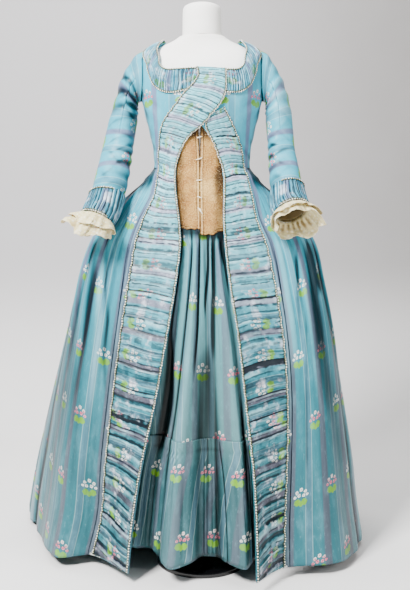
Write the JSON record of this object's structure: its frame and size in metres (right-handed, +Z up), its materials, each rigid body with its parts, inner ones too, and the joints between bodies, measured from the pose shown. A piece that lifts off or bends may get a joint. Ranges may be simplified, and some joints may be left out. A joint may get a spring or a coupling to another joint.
{
  "type": "robe a la francaise on a dress form",
  "caption": "Open-fronted silk gown with pleated sack back, gathered robings, petticoat, linen under-fronts and cotton sleeve ruffles, worn by a limbless dress form on a round base.",
  "frame": {"origin": "centre of the round foot's underside, on the floor", "axes": "+Z up, the front of the gown faces -Y, the wearer's left is at +X"},
  "size_m": [0.9988, 0.8556, 1.476],
  "materials": {
    "silk": "pale turquoise striped silk, satin sheen",
    "gathered_silk": "same silk gathered into bands, picot edged",
    "cotton_gauze": "ivory gauze, matte",
    "linen_lining": "tan linen, matte, laced",
    "form_cover": "stretched white jersey, matte",
    "pole_steel": "dark, smooth",
    "base_enamel": "black, glossy"
  },
  "bodies": {
    "root": {"front_left": "silk", "bodice_side_left": "silk", "skirt_side_left": "silk", "robing_left": "gathered_silk", "collar_left": "gathered_silk", "sleeve_left": "silk", "cuff_left": "gathered_silk", "ruffle_lower_left": "cotton_gauze", "ruffle_upper_left": "cotton_gauze", "linen_left": "linen_lining", "front_right": "silk", "bodice_side_right": "silk", "skirt_side_right": "silk", "robing_right": "gathered_silk", "collar_right": "gathered_silk", "sleeve_right": "silk", "cuff_right": "gathered_silk", "ruffle_lower_right": "cotton_gauze", "ruffle_upper_right": "cotton_gauze", "linen_right": "linen_lining", "back": "silk", "petticoat": "silk", "flounce": "silk", "form_torso": "form_cover", "form_neck_cap": "form_cover", "stand_pole": "pole_steel", "stand_base": "base_enamel"}
  },
  "joints": []
}
